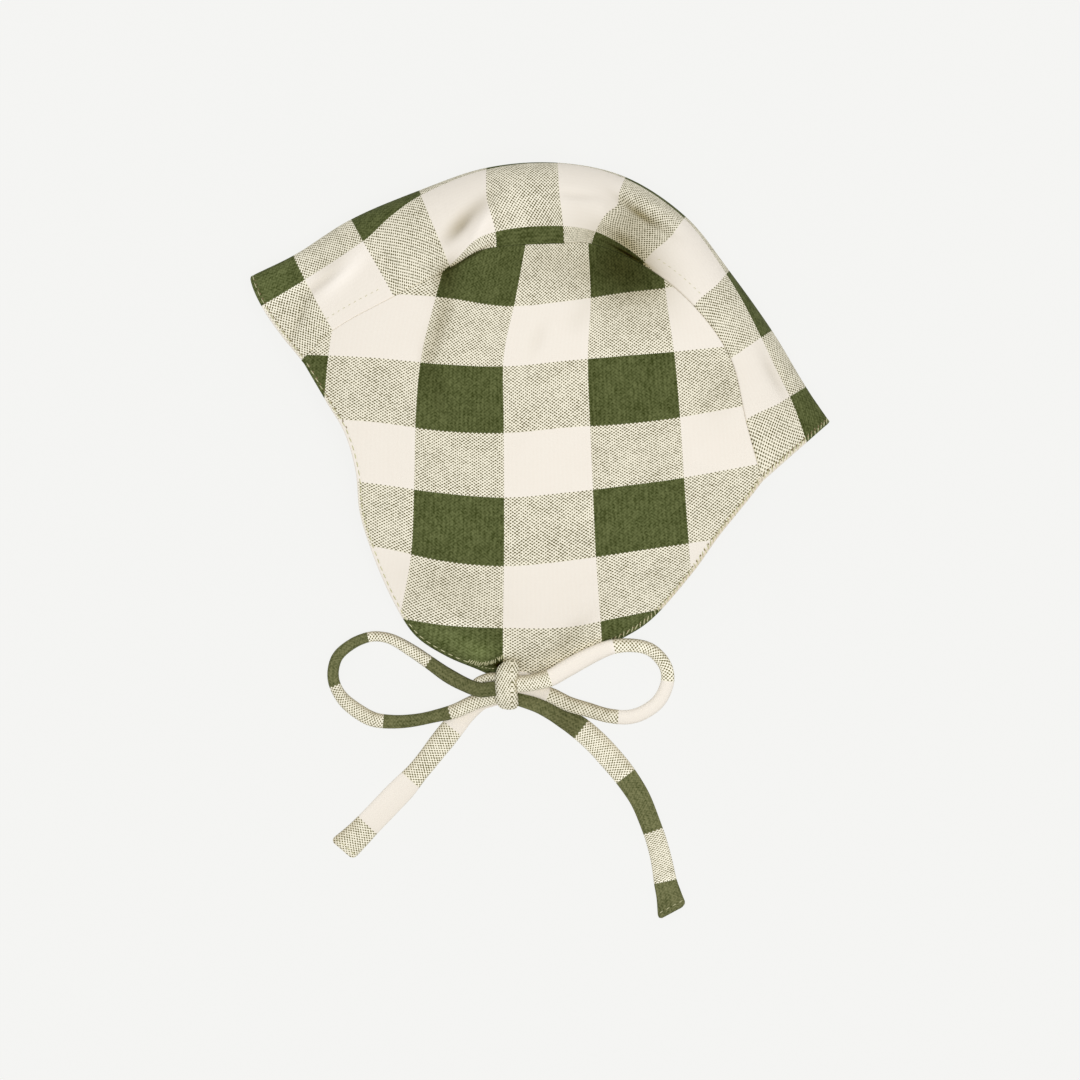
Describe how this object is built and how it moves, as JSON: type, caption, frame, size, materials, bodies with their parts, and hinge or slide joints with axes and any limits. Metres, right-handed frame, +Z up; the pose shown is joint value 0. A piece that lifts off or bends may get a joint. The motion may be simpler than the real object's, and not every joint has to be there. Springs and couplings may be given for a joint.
{
  "type": "baby aviator hat with ear flaps and ties",
  "caption": "Soft checked baby bonnet in the aviator shape, lying on its side, with a small peak, ear flaps and ties in a bow.",
  "frame": {"origin": "centre of the hat's footprint, ties left out, on the surface it lies on", "axes": "+Z up from the surface, out of the hat's left side; +X from the peak to the nape; +Y from the flaps' tips to the crown"},
  "size_m": [0.2131, 0.2768, 0.0463],
  "materials": {
    "check_jersey": "matt cotton jersey in a green and cream check",
    "tie_jersey": "matt cotton jersey strip, folded and sewn",
    "thread": "matt sewing thread"
  },
  "bodies": {
    "root": {"crown_band": "check_jersey", "side_panel_left": "check_jersey", "side_panel_right": "check_jersey", "tie_knot": "tie_jersey", "tie_loop_front": "tie_jersey", "tie_loop_back": "tie_jersey", "tie_tail_front": "tie_jersey", "tie_tail_back": "tie_jersey"}
  },
  "joints": []
}
